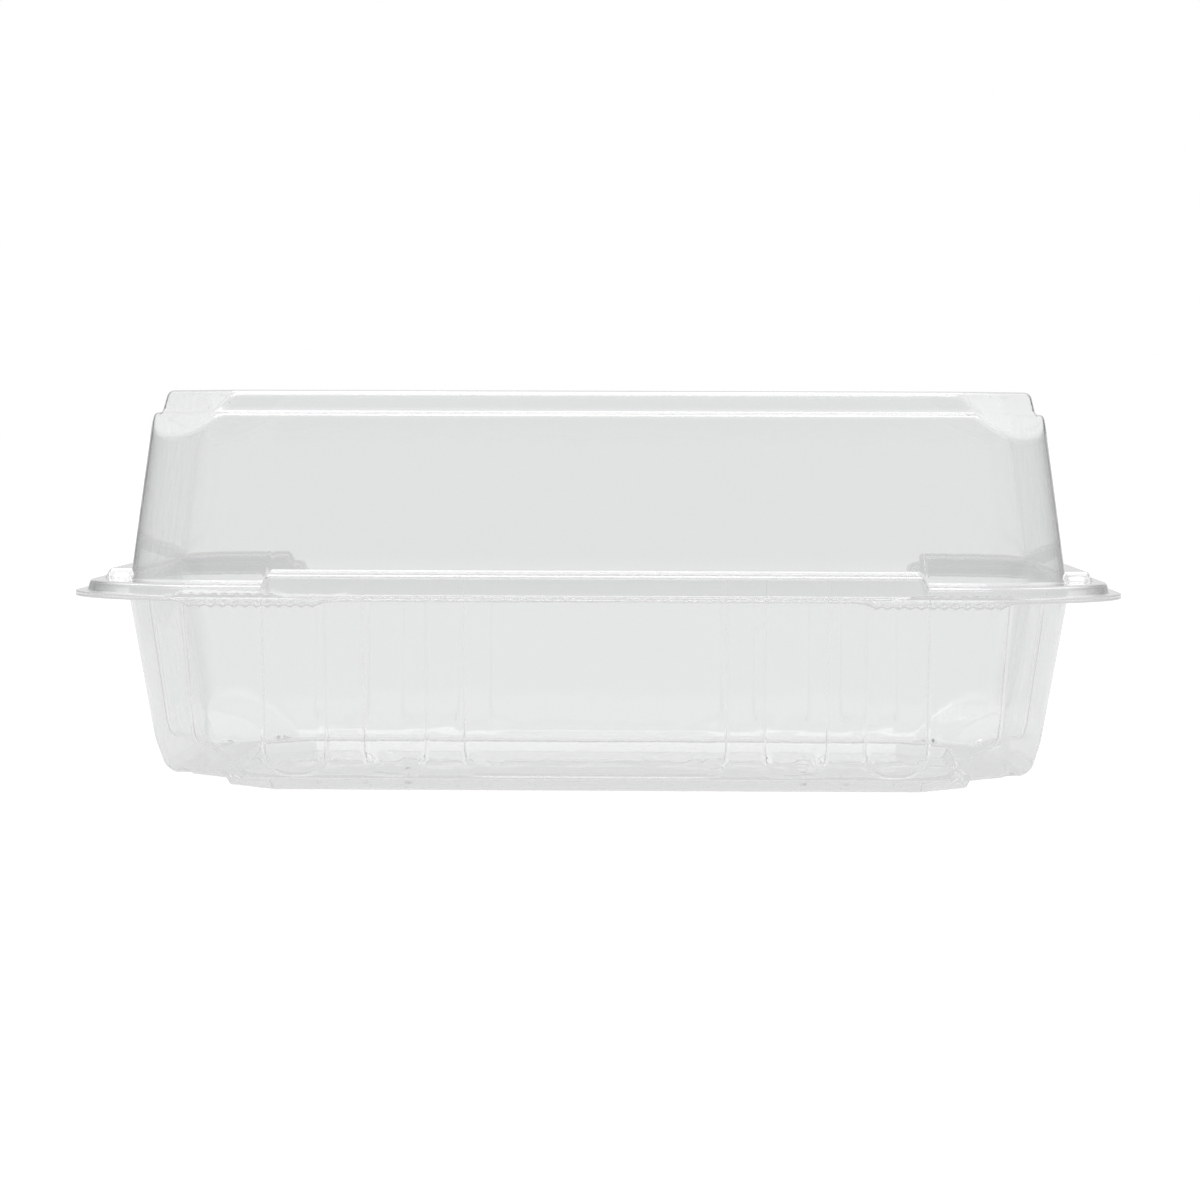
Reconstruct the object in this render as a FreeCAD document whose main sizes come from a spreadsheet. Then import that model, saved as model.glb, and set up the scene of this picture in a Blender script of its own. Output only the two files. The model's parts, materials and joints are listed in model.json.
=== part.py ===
import FreeCAD, Part
import math
import os

import Sketcher
from FreeCAD import Placement, Rotation, Vector

# A hinged clear food pack, formed from one thin sheet: a tray with a flanged rim, and a lid that
# nests over the rim and folds back about the rim's rear edge. Millimetres, with the table at z = 0,
# the front at -Y and the fold at +Y. Only the fold divides the sheet, because the lid turns there.

os.makedirs("parts", exist_ok=True)
doc = FreeCAD.newDocument("clamshell_pack")
sizes = doc.addObject("Spreadsheet::Sheet", "Sizes")

DIMENSIONS = [
    ("body_length", 211.6, "outside of the end walls at the parting plane, along X"),
    ("body_width", 127.2, "outside of the front and back walls at the parting plane, along Y"),
    ("corner_radius", 22.4, "upright corners at the parting plane"),
    ("base_height", 44.2, "table to parting plane"),
    ("lid_height", 45.5, "parting plane to lid top"),
    ("base_draft", 10, "slope of the tray walls, degrees"),
    ("lid_draft", 8, "slope of the lid walls, degrees"),
    ("sheet", 0.45, "thickness of the formed sheet"),
    ("ledge_height", 2.8, "table to the ledge round the foot"),
    ("bottom_radius", 6.6, "round between the tray walls and the ledge"),
    ("foot_margin_x", 13.5, "outline at the ledge to the foot, at the ends"),
    ("foot_margin_y", 7.5, "outline at the ledge to the foot, at the front and back"),
    ("foot_corner", 11.7, "corner cut of the foot, along each side"),
    ("foot_draft", 25, "slope of the foot's sides, degrees"),
    ("step_height", 5, "lid top down to the stacking step"),
    ("step_ledge", 1.9, "width of the stacking step"),
    ("lid_radius", 1.6, "round of the lid's top edge"),
    ("flange_width", 11.8, "wall to the fold, and to the outer lip, at the parting plane"),
    ("flange_radius", 34.2, "corners of the flange"),
    ("part_gap", 0.2, "between the two flanges"),
    ("nest_gap", 0.2, "between the tray's bead and the lid's bead over it"),
    ("bead_reach", 8.5, "wall to the outside of the bead"),
    ("bead_low", 2.4, "height of the bead round the corners"),
    ("bead_front", 4.8, "height of the bead along the front"),
    ("bead_side", 4.6, "height of the bead along the ends"),
    ("bead_side_reach", 5.2, "wall to the outside of the high bead along the ends"),
    ("bead_draft", 12, "slope of the bead's sides, degrees"),
    ("bead_end_draft", 25, "slope of the high bead's ends, degrees"),
    ("front_bead_half", 73, "half length of the high bead along the front"),
    ("side_bead_start", 40, "start of the high end bead, in front of the middle"),
    ("back_bead_start", 79, "start of the high bead at the back corners, from the middle"),
    ("hinge_half", 77, "half length of the fold"),
    ("fold_angle", 86, "turn of each half of the fold, degrees"),
    ("panel_depth", 0.8, "how far the wall panels stand proud"),
    ("panel_foot", 4.2, "table to the rounded lower ends of the panels"),
    ("panel_radius", 6, "lower corners of the panels"),
    ("panel_middle", 58.6, "width of the middle panel"),
    ("panel_narrow", 14.3, "width of each narrow panel"),
    ("panel_space", 7.9, "plain wall between two panels"),
    ("lid_cut", 17.4, "corner scoop of the lid, along each top edge"),
    ("lid_cut_drop", 10.8, "height of the lid's corner scoops"),
    ("base_cut", 22, "corner scoop of the tray, along each side at the ledge"),
    ("base_cut_rise", 11, "height of the tray's corner scoops above the ledge"),
    ("scoop_radius", 60, "hollow of the corner scoops"),
    ("scoop_depth", 0.5, "hollow of the scoops at their middle"),
    ("grip_start", 61, "first tooth of the tray's finger grips, from the middle"),
    ("lid_grip_start", 70, "first tooth of the lid's finger grips, from the middle"),
    ("grip_length", 27, "tray's row of teeth, first to last"),
    ("lid_grip_length", 20, "lid's row of teeth, first to last"),
    ("grip_count", 10, "teeth in the tray's row"),
    ("lid_grip_count", 8, "teeth in the lid's row"),
    ("grip_half", 1.1, "half the side of a tooth, a square that stands on its corner"),
    ("spare", 12, "how far cutting forms run past the sheet"),
]
for row, (alias, value, note) in enumerate(DIMENSIONS, start=1):
    sizes.set(f"A{row}", alias)
    sizes.set(f"B{row}", str(value))
    sizes.setAlias(f"B{row}", alias)
    sizes.set(f"C{row}", note)
doc.recompute()

Y_AXIS = Vector(0, 1, 0)
Z_AXIS = Vector(0, 0, 1)
SIDES = (-1, 1)

# Formulas that several forms share. A name in square brackets is a cell of the sheet.
TRAY_PLANE = "([base_height] - [part_gap] / 2)"
LID_PLANE = "([base_height] + [part_gap] / 2)"
WALL_DROP = "([base_height] - [ledge_height])"
LEDGE_X = f"([body_length] / 2 - {WALL_DROP} * tan([base_draft] * 1 deg))"
LEDGE_Y = f"([body_width] / 2 - {WALL_DROP} * tan([base_draft] * 1 deg))"
STEP_RISE = "([lid_height] - [part_gap] / 2 - [step_height])"
STEP_IN = f"({STEP_RISE} * tan([lid_draft] * 1 deg) + [step_ledge])"
TOP_IN = f"({STEP_IN} + [step_height] * tan([lid_draft] * 1 deg))"
BEAD_TOP = "max([bead_front]; [bead_side]; [bead_low])"
FOLD_RADIUS = "([sheet] + [part_gap] / 2)"
FLANGE_X = "([body_length] / 2 + [flange_width])"
FLANGE_Y = f"([body_width] / 2 + [flange_width] - {FOLD_RADIUS})"


def bind(item, bindings):
    """Ties properties of an object to formulas of the sheet's cells."""
    for path, formula in bindings.items():
        item.setExpression(path, formula.replace("[", "Sizes.").replace("]", ""))


def origin_item(body, role):
    """One of the planes and axes that a body starts with."""
    return [item for item in body.Origin.OriginFeatures if item.Role == role][0]


def new_sketch(body, label, level, shift_x="0", shift_y="0", turn="0", role="XY_Plane"):
    """An empty sketch on one of the body's planes, moved along it and turned by degrees."""
    sketch = body.newObject("Sketcher::SketchObject", label)
    sketch.AttachmentSupport = [(origin_item(body, role), "")]
    sketch.MapMode = "FlatFace"
    bind(sketch, {
        "AttachmentOffset.Base.x": shift_x,
        "AttachmentOffset.Base.y": shift_y,
        "AttachmentOffset.Base.z": level,
        "AttachmentOffset.Rotation.Angle": turn,
    })
    return sketch


def draw_rectangle(sketch, half_x, half_y, radius=None):
    """Draws a rectangle about the sketch's origin, with round corners if a radius is given."""
    start_x, start_y, start_r = 60.0, 40.0, (10.0 if radius else 0.0)
    inner_x, inner_y = start_x - start_r, start_y - start_r
    rules = Sketcher.Constraint
    ends = [
        (Vector(-inner_x, -start_y, 0), Vector(inner_x, -start_y, 0)),
        (Vector(start_x, -inner_y, 0), Vector(start_x, inner_y, 0)),
        (Vector(inner_x, start_y, 0), Vector(-inner_x, start_y, 0)),
        (Vector(-start_x, inner_y, 0), Vector(-start_x, -inner_y, 0)),
    ]
    lines = [sketch.addGeometry(Part.LineSegment(first, last)) for first, last in ends]
    if radius:
        arcs = []
        for quarter, (side_x, side_y) in enumerate(((1, -1), (1, 1), (-1, 1), (-1, -1))):
            circle = Part.Circle(Vector(side_x * inner_x, side_y * inner_y, 0), Z_AXIS, start_r)
            begin = (quarter - 1) * math.pi / 2
            arcs.append(sketch.addGeometry(Part.ArcOfCircle(circle, begin, begin + math.pi / 2)))
        for quarter in range(4):
            sketch.addConstraint(rules("Tangent", lines[quarter], 2, arcs[quarter], 1))
            sketch.addConstraint(rules("Tangent", arcs[quarter], 2, lines[(quarter + 1) % 4], 1))
        for quarter in (1, 2, 3):
            sketch.addConstraint(rules("Equal", arcs[0], arcs[quarter]))
        sketch.addConstraint(rules("Symmetric", arcs[0], 3, arcs[2], 3, -1, 1))
        size = sketch.addConstraint(rules("Radius", arcs[0], start_r))
        sketch.renameConstraint(size, "radius")
        bind(sketch, {"Constraints.radius": radius})
    else:
        for quarter in range(4):
            sketch.addConstraint(rules("Coincident", lines[quarter], 2, lines[(quarter + 1) % 4], 1))
        sketch.addConstraint(rules("Symmetric", lines[0], 1, lines[2], 1, -1, 1))
    for quarter in (0, 2):
        sketch.addConstraint(rules("Horizontal", lines[quarter]))
        sketch.addConstraint(rules("Vertical", lines[quarter + 1]))
    width = sketch.addConstraint(rules("DistanceX", -1, 1, lines[1], 1, start_x))
    sketch.renameConstraint(width, "half_x")
    height = sketch.addConstraint(rules("DistanceY", -1, 1, lines[2], 1, start_y))
    sketch.renameConstraint(height, "half_y")
    bind(sketch, {"Constraints.half_x": half_x, "Constraints.half_y": half_y})


def raise_pad(body, label, sketch, up, up_taper="0", down=None, down_taper="0"):
    """Pads a sketch along its normal, and also the other way where a second length is given."""
    pad = body.newObject("PartDesign::Pad", label)
    pad.Profile = sketch
    bind(pad, {"Length": up, "TaperAngle": up_taper})
    if down:
        pad.SideType = "Two sides"
        bind(pad, {"Length2": down, "TaperAngle2": down_taper})
    return pad


def block(label, half_x, half_y, level, up, radius=None, shift_x="0", shift_y="0", **pad_options):
    """A body of one pad: a rectangle at a level, raised with an optional slope."""
    body = doc.addObject("PartDesign::Body", label)
    sketch = new_sketch(body, f"{label}_outline", level, shift_x, shift_y)
    draw_rectangle(sketch, half_x, half_y, radius)
    raise_pad(body, f"{label}_pad", sketch, up, **pad_options)
    return body


def fuse(label, *items):
    joined = doc.addObject("Part::MultiFuse", label)
    joined.Shapes = list(items)
    joined.Refine = True
    return joined


def cut(label, base, tool):
    result = doc.addObject("Part::Cut", label)
    result.Base = base
    result.Tool = tool
    result.Refine = True
    return result


def common(label, first, second):
    result = doc.addObject("Part::MultiCommon", label)
    result.Shapes = [first, second]
    result.Refine = True
    return result


def flat_edges(shape, level):
    """Names of the edges that lie flat at a height."""
    return [
        f"Edge{index}"
        for index, edge in enumerate(shape.Edges, start=1)
        if abs(edge.BoundBox.ZMin - level) < 1e-4 and abs(edge.BoundBox.ZMax - level) < 1e-4
    ]


def dress(body, kind, label, base, edges, bindings):
    """Adds a fillet or chamfer along named edges of the body's last feature."""
    feature = body.newObject(kind, label)
    feature.Base = (base, edges)
    bind(feature, bindings)
    return feature


# The bead, in four sizes: the tray's outer and hollow forms, and the lid's hollow and outer forms.
# Each is solid across the middle, where the tray's or the lid's own inside is cut out later.

def bead_form(label, grow, level, depth):
    """The bead grown by a distance, from a depth below a level up to its top."""
    rise = f"([base_height] - {level} + {grow}"
    slope = "-[bead_draft]"
    ring = {
        "level": level,
        "radius": f"[corner_radius] + [bead_reach] + {grow}",
        "up_taper": slope,
        "down": depth,
    }
    half_x = f"[body_length] / 2 + [bead_reach] + {grow}"
    half_y = f"[body_width] / 2 + [bead_reach] + {grow}"
    low = block(f"{label}_low", half_x, half_y, up=f"{rise} + [bead_low])", **ring)
    front = block(f"{label}_front", half_x, half_y, up=f"{rise} + [bead_front])", **ring)
    ring["radius"] = f"[corner_radius] + [bead_side_reach] + {grow}"
    half_x = f"[body_length] / 2 + [bead_side_reach] + {grow}"
    half_y = f"[body_width] / 2 + [bead_side_reach] + {grow}"
    side = block(f"{label}_side", half_x, half_y, up=f"{rise} + [bead_side])", **ring)

    reach_y = "([body_width] / 2 + [bead_reach] + [spare])"
    tall = f"{BEAD_TOP} + [spare]"
    hinge_gap = block(
        f"{label}_hinge_gap", f"[hinge_half] - {grow}", f"{reach_y} / 2", level, tall,
        shift_y=f"{reach_y} / 2", down="[spare]",
    )
    front_zone = block(
        f"{label}_front_zone", f"[front_bead_half] + {grow}", f"{reach_y} / 2", level, tall,
        shift_y=f"-{reach_y} / 2 - [spare] / 4", up_taper="-[bead_end_draft]", down="[spare]",
    )
    middle_gap = block(
        f"{label}_middle_gap", f"[back_bead_start] - {grow}", f"2 * {reach_y}", level, tall,
        up_taper="[bead_end_draft]", down="[spare]",
    )
    start_gap = block(
        f"{label}_start_gap", "[body_length]", f"{reach_y} - [side_bead_start] / 2", level, tall,
        shift_y=f"-{reach_y} - [side_bead_start] / 2 - {grow}", up_taper="[bead_end_draft]",
        down="[spare]",
    )
    return fuse(
        label,
        cut(f"{label}_corners", low, hinge_gap),
        common(f"{label}_front_high", front, front_zone),
        cut(f"{label}_ends_high", side, fuse(f"{label}_gaps", middle_gap, start_gap)),
    )


# Corner scoops: a wide cylinder lies across each corner at 45 degrees and hollows the sheet there.

def corner_scoops(label, along, radius, half_x, half_y, level, height, upward):
    """Four cutters. Their hollow meets the level this far along each side from the sharp corner."""
    turn = f"(([scoop_radius] - [scoop_depth]) + {height} / sqrt(2))"
    spread = f"({half_x} + {half_y} - {along} + {turn})"
    skew = f"({half_x} - {half_y})"
    length = f"(2 * {along} + 2 * [corner_radius])"
    drop = f"(([scoop_radius] - [scoop_depth]) / sqrt(2) - {height} / 2)"
    axis_level = f"{level} + {drop}" if upward else f"{level} - {drop}"
    cutters = []
    for side_x in SIDES:
        for side_y in SIDES:
            name = f"{label}_{'right' if side_x > 0 else 'left'}_{'back' if side_y > 0 else 'front'}"
            cutter = doc.addObject("Part::Cylinder", name)
            along_corner = Vector(side_x, -side_y, 0)
            cutter.Placement = Placement(Vector(0, 0, 0), Rotation(Z_AXIS, along_corner))
            bind(cutter, {
                "Radius": radius,
                "Height": length,
                "Placement.Base.x": f"{side_x} * (({spread} + {skew}) / 2 - {length} / sqrt(8))",
                "Placement.Base.y": f"{side_y} * (({spread} - {skew}) / 2 + {length} / sqrt(8))",
                "Placement.Base.z": axis_level,
            })
            cutters.append(cutter)
    return fuse(label, *cutters)


# Tray: sloping walls with proud panels front and back, a round to a ledge, and a cut-cornered foot.

def wall_panels(label, grow, wall):
    """The proud panels: upright strips with round lower ends, cut from a thicker wall."""
    strips = []
    pitch = "([panel_narrow] + [panel_space])"
    first = "([panel_middle] / 2 + [panel_space] + [panel_narrow] / 2)"
    places = [("0", "[panel_middle]")]
    places += [(f"{side} * {first}", "[panel_narrow]") for side in SIDES]
    places += [(f"{side} * ({first} + {pitch})", "[panel_narrow]") for side in SIDES]
    height = f"([base_height] + {BEAD_TOP} + [spare] - [panel_foot])"
    for number, (place, width) in enumerate(places, start=1):
        strip = doc.addObject("PartDesign::Body", f"{label}_{number}")
        sketch = new_sketch(
            strip, f"{label}_{number}_outline", "0", shift_x=place,
            shift_y=f"[panel_foot] + {height} / 2", role="XZ_Plane",
        )
        draw_rectangle(
            sketch, f"{width} / 2 + {grow}", f"{height} / 2 + {grow}",
            radius=f"[panel_radius] + {grow}",
        )
        reach = "[body_width]"
        raise_pad(strip, f"{label}_{number}_pad", sketch, reach, down=reach)
        strips.append(strip)
    return common(f"{label}_on_wall", wall, fuse(label, *strips))


def wall_body(label, grow, depth):
    """Sloping walls with the round below them, this much proud of the plain wall."""
    body = doc.addObject("PartDesign::Body", label)
    sketch = new_sketch(body, f"{label}_outline", "[base_height]")
    draw_rectangle(
        sketch, f"[body_length] / 2 + {grow} + {depth}", f"[body_width] / 2 + {grow} + {depth}",
        radius=f"[corner_radius] + {grow} + {depth}",
    )
    pad = raise_pad(
        body, f"{label}_pad", sketch, f"{BEAD_TOP} + [spare]", up_taper="[base_draft]",
        down=f"{WALL_DROP} + {grow}", down_taper="-[base_draft]",
    )
    doc.recompute()
    edges = flat_edges(pad.Shape, pad.Shape.BoundBox.ZMin)
    dress(
        body, "PartDesign::Fillet", f"{label}_round", pad, edges,
        {"Radius": f"[bottom_radius] + {grow}"},
    )
    return body


def tray_form(label, grow):
    """The tray's whole form, grown by a distance; its walls run on past the rim."""
    body = wall_body(f"{label}_walls", grow, "0")
    thick = wall_body(f"{label}_thick_walls", grow, "[panel_depth]")
    foot_x = f"({LEDGE_X} - [foot_margin_x] + {grow})"
    foot_y = f"({LEDGE_Y} - [foot_margin_y] + {grow})"
    foot_slope = {"up_taper": "-[foot_draft]"}
    foot_level = f"[ledge_height] - {grow}"
    foot_plate = block(f"{label}_foot_plate", foot_x, foot_y, foot_level, "[ledge_height]", **foot_slope)
    across = f"({foot_x} + {foot_y} - [foot_corner]) / sqrt(2)"
    foot_diamond = block(f"{label}_foot_diamond", across, across, foot_level, "[ledge_height]", **foot_slope)
    foot_diamond.Placement = Placement(Vector(0, 0, 0), Rotation(Z_AXIS, 45))
    for piece in (foot_plate, foot_diamond):
        piece.Tip.Reversed = True
    foot = common(f"{label}_foot", foot_plate, foot_diamond)
    panels = wall_panels(f"{label}_panels", grow, thick)
    scoops = corner_scoops(
        f"{label}_scoops", "[base_cut]", f"[scoop_radius] - {grow}", LEDGE_X, LEDGE_Y,
        "[ledge_height]", "[base_cut_rise]", upward=False,
    )
    return cut(label, fuse(f"{label}_whole", body, panels, foot), scoops)


# Flanges: a flat plate round the rim, with toothed finger grips at the two front corners.

def flange_plate(label, level, start, length, count):
    body = doc.addObject("PartDesign::Body", label)
    sketch = new_sketch(body, f"{label}_outline", level)
    draw_rectangle(sketch, FLANGE_X, FLANGE_Y, radius="[flange_radius]")
    raise_pad(body, f"{label}_pad", sketch, "[sheet]")
    for side, name in zip(SIDES, ("left", "right")):
        tooth = new_sketch(
            body, f"{label}_{name}_tooth", level, shift_x=f"{side} * {start}",
            shift_y=f"-({FLANGE_Y} + {FOLD_RADIUS} - [grip_half] * sqrt(2))", turn="45",
        )
        draw_rectangle(tooth, "[grip_half]", "[grip_half]")
        pad = raise_pad(body, f"{label}_{name}_tooth_pad", tooth, "[sheet]")
        doc.recompute()
        row = body.newObject("PartDesign::LinearPattern", f"{label}_{name}_teeth")
        row.Originals = [pad]
        row.Direction = (origin_item(body, "X_Axis"), [""])
        row.Reversed = side < 0
        bind(row, {"Length": length, "Occurrences": count})
        body.Tip = row
    return body


def fold_half(label):
    """The tray's half of the fold: an arc of sheet from the flange to the line the lid turns about."""
    rings = []
    for name, radius in (("outer", FOLD_RADIUS), ("inner", "[part_gap] / 2")):
        ring = doc.addObject("Part::Cylinder", f"{label}_{name}")
        ring.Placement = Placement(Vector(0, 0, 0), Rotation(Y_AXIS, 90))
        bind(ring, {
            "Radius": radius,
            "Height": "2 * [hinge_half]",
            "Angle": "[fold_angle]",
            "Placement.Base.x": "-[hinge_half]",
            "Placement.Base.y": FLANGE_Y,
            "Placement.Base.z": "[base_height]",
        })
        rings.append(ring)
    return cut(label, *rings)


def mirror_up(label, source):
    """A form mirrored in the parting plane."""
    mirrored = doc.addObject("Part::Mirroring", label)
    mirrored.Source = source
    mirrored.Normal = Z_AXIS
    bind(mirrored, {"Base.z": "[base_height]"})
    return mirrored


tray_outer = tray_form("tray_outside", "0")
tray_inner = tray_form("tray_inside", "(-[sheet])")
below_rim = block("below_rim", "[body_length]", "[body_width]", "-[spare]", f"{TRAY_PLANE} + [spare]")
tray_bead = bead_form("tray_bead", "0", TRAY_PLANE, "[sheet]")
tray_hollow = cut(
    "tray_bead_hollow",
    bead_form("tray_bead_inside", "(-[sheet])", TRAY_PLANE, "[spare]"),
    tray_outer,
)
tray_flange = flange_plate(
    "tray_flange", f"{TRAY_PLANE} - [sheet]", "[grip_start]", "[grip_length]", "[grip_count]",
)
tray_fold = fold_half("tray_fold")
tray_below_rim = common("tray_below_rim", tray_outer, below_rim)
tray_solid = fuse("tray_solid", tray_below_rim, tray_flange, tray_bead, tray_fold)
base = cut("base", tray_solid, fuse("tray_hollows", tray_inner, tray_hollow))


# Lid: smooth sloping walls, a stacking step, a flat top, and the bead that nests over the tray's.

def lid_form(label, grow):
    body = doc.addObject("PartDesign::Body", f"{label}_walls")
    sketch = new_sketch(body, f"{label}_outline", LID_PLANE)
    draw_rectangle(
        sketch, f"[body_length] / 2 + {grow}", f"[body_width] / 2 + {grow}",
        radius=f"[corner_radius] + {grow}",
    )
    options = {"down": "[spare]"} if "sheet" in grow else {}
    raise_pad(
        body, f"{label}_pad", sketch, f"{STEP_RISE} + {grow}", up_taper="-[lid_draft]", **options,
    )
    top = doc.addObject("PartDesign::Body", f"{label}_top")
    sketch = new_sketch(top, f"{label}_top_outline", f"{LID_PLANE} + {STEP_RISE} + {grow}")
    draw_rectangle(
        sketch, f"[body_length] / 2 - {STEP_IN} + {grow}", f"[body_width] / 2 - {STEP_IN} + {grow}",
        radius=f"[corner_radius] - {STEP_IN} + {grow}",
    )
    pad = raise_pad(
        top, f"{label}_top_pad", sketch, "[step_height]", up_taper="-[lid_draft]",
        down="[step_height] / 2",
    )
    doc.recompute()
    edges = flat_edges(pad.Shape, pad.Shape.BoundBox.ZMax)
    dress(
        top, "PartDesign::Fillet", f"{label}_top_round", pad, edges,
        {"Radius": f"[lid_radius] + {grow}"},
    )
    scoops = corner_scoops(
        f"{label}_scoops", "[lid_cut]", f"[scoop_radius] - {grow}",
        f"([body_length] / 2 - {TOP_IN})", f"([body_width] / 2 - {TOP_IN})",
        "([base_height] + [lid_height])", "[lid_cut_drop]", upward=True,
    )
    return cut(label, fuse(f"{label}_whole", body, top), scoops)


lid_outer = lid_form("lid_outside", "0")
lid_inner = lid_form("lid_inside", "(-[sheet])")
lid_bead = bead_form("lid_bead", "([nest_gap] + [sheet])", LID_PLANE, None)
lid_hollow = bead_form("lid_bead_inside", "[nest_gap]", LID_PLANE, "[spare]")
lid_flange = flange_plate(
    "lid_flange", LID_PLANE, "[lid_grip_start]", "[lid_grip_length]", "[lid_grip_count]",
)
lid_fold = mirror_up("lid_fold", tray_fold)
lid_solid = fuse("lid_solid", lid_outer, lid_flange, lid_bead, lid_fold)
lid = cut("lid", lid_solid, fuse("lid_hollows", lid_inner, lid_hollow))

doc.recompute()

NODES = (base, lid)
for item in doc.Objects:
    if {"Invalid", "Error"} & set(item.State):
        raise RuntimeError(f"{item.Label} failed: {item.State}")
for node in NODES:
    if node.Shape.isNull() or not node.Shape.isValid() or len(node.Shape.Solids) != 1:
        raise RuntimeError(f"{node.Label} is not one valid solid")
    print(node.Label, node.Shape.BoundBox, round(node.Shape.Volume), len(node.Shape.Faces))
for node in NODES:
    node.Shape.exportStep(f"parts/{node.Label}.step")
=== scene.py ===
import json
import math

import bpy
import numpy as np
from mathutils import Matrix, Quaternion, Vector


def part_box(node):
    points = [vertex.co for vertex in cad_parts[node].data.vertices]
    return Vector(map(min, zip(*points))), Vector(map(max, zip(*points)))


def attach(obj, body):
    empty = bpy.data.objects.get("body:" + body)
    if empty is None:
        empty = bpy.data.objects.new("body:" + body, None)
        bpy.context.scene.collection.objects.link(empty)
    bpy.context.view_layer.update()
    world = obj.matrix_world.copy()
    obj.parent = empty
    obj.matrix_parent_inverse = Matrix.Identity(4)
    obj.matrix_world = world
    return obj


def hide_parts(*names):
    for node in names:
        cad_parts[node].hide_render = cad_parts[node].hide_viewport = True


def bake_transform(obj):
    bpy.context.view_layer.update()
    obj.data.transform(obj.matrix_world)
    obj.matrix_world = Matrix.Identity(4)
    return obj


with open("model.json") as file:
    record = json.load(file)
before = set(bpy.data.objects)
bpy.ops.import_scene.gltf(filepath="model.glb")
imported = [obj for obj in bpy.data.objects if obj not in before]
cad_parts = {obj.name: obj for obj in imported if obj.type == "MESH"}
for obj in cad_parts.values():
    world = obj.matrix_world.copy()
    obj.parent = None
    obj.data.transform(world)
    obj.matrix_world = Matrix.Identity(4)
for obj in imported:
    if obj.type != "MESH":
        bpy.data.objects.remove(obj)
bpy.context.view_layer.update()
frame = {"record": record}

scene = bpy.context.scene

# Sizes in millimetres. The overall ones come from the frame, the rest are the pack's own.
MM = 0.001
SHEET = 0.45
FLANGE = 11.8
FLANGE_BACK = 11.25
CORNER = 22.4
LEDGE_Z = 2.8
PART_HALF_GAP = 0.1
NEST_GAP = 0.2
TRAY_DRAFT = math.tan(math.radians(10))
LID_DRAFT = math.tan(math.radians(8))
BOTTOM_ROUND = 6.6

# The foot: a raised plate with cut corners under the tray.
FOOT_MARGIN_X = 13.5
FOOT_MARGIN_Y = 7.5
FOOT_CUT = 11.7
FOOT_SLOPE = math.tan(math.radians(25))

# The foot's round lower edge as (inset past the slope, height), and the soft edge where its side
# meets the ledge as (inset, depth under the ledge).
FOOT_LOWER_EDGE = ((0.9, 0.0), (0.35, 0.08), (-0.1, 0.4))
FOOT_UPPER_EDGE = ((0.15, 0.4), (-0.1, 0.1), (-0.6, 0.0))

# The step round the lid's top. Its ledge is narrower at the corners, between two values of |sin 2a|.
STEP_DOWN = 5.0
STEP_LEDGE = 1.9
CORNER_LEDGE_CUT = 0.9
CORNER_LEDGE_EDGE = (0.1, 0.6)
TOP_RING = 9.0

# The bead round the rim: reaches are outward from the body, heights are over the parting plane.
BEAD_DRAFT = math.tan(math.radians(12))
BEAD_END = math.tan(math.radians(25))
BEAD_TOE = 0.1
BEAD_REACH = 8.5
BEAD_SIDE_REACH = 5.2
BEAD_LOW = 2.4
BEAD_FRONT = 4.8
BEAD_SIDE = 4.6
FRONT_BEAD_HALF = 73.0
SIDE_BEAD_START = 40.0
BACK_BEAD_START = 79.0

# Wall panels with round lower ends: a wide one in the middle and two narrow ones at each side.
PANEL_DEPTH = 0.8
PANEL_FOOT = 4.2
PANEL_ROUND = 6.0
PANEL_EDGE = 0.48
PANEL_MIDDLE = 58.6
PANEL_NARROW = 14.3
PANEL_SPACE = 7.9
NARROW_FIRST = PANEL_MIDDLE / 2 + PANEL_SPACE + PANEL_NARROW / 2
NARROW_SECOND = NARROW_FIRST + PANEL_NARROW + PANEL_SPACE
PANELS = (
    (0.0, PANEL_MIDDLE / 2),
    (NARROW_FIRST, PANEL_NARROW / 2),
    (NARROW_SECOND, PANEL_NARROW / 2),
)

# A shallow strip down each front corner of the tray, between two angles in degrees. Its edges take
# STRIP_EDGE degrees to each side, and other stations keep STRIP_CLEAR away from them.
STRIP_EDGES = (45.0, 69.0)
STRIP_EDGE = 1.0
STRIP_CLEAR = 1.3
STRIP_DEPTH = 0.35

# Cylinders that lie across the corners and scoop them away.
SCOOP_RADIUS = 60.0
SCOOP_DEPTH = 0.5
SCOOP_SOFT = 0.3
TRAY_SCOOP_CUT = 22.0
TRAY_SCOOP_RISE = 11.0
LID_SCOOP_CUT = 18.0
LID_SCOOP_DROP = 12.2

# Finger grips on the front lip: start, length and number of scallops. The lip bends beyond TAB_BEND.
TRAY_TAB = (61, 27, 12)
LID_TAB = (70, 20, 9)
SCALLOP_RADIUS = 1.4
SCALLOP_OUT = 0.3
SCALLOP_BEND = 0.28
TAB_FADE = 4
TAB_BEND = 9.4
TRAY_TAB_DROP = 1.15
LID_TAB_LIFT = 0.8

# The fold at the back. Its strip is a little thinner than the sheet, so that it stays in the box.
HINGE_HALF = 77.0
HINGE_LAP = 0.05
HINGE_HALF_SHEET = SHEET * 0.4
HINGE_TURNS = 13
HINGE_PLACES = 40

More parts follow.
